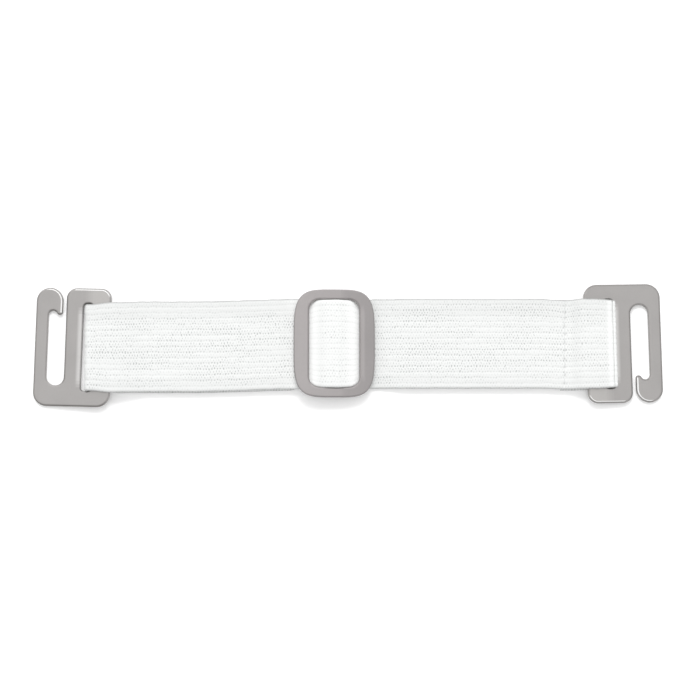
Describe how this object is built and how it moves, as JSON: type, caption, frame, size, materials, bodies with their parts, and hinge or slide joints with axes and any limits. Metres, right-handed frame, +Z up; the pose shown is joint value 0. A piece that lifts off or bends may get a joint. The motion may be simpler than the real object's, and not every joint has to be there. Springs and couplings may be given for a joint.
{
  "type": "shirt sleeve holder",
  "caption": "Adjustable elastic sleeve garter laid open: ribbed white elastic strip doubled back through a metal slide, with a flat stamped metal hook looped on at each end.",
  "frame": {"origin": "on the surface that the holder lies on, under the middle of the whole holder", "axes": "+X along the strip towards its sewn end, +Y across the strip towards the top of the picture, +Z up from the surface"},
  "size_m": [0.177, 0.0348, 0.0046],
  "materials": {
    "hook_nickel": "satin nickel, stamped sheet",
    "slide_metal": "satin grey, softly rounded",
    "white_elastic": "ribbed woven elastic"
  },
  "bodies": {
    "root": {"left_hook_plate": "hook_nickel", "right_hook_plate": "hook_nickel", "slide_buckle": "slide_metal", "elastic_band": "white_elastic"}
  },
  "joints": []
}
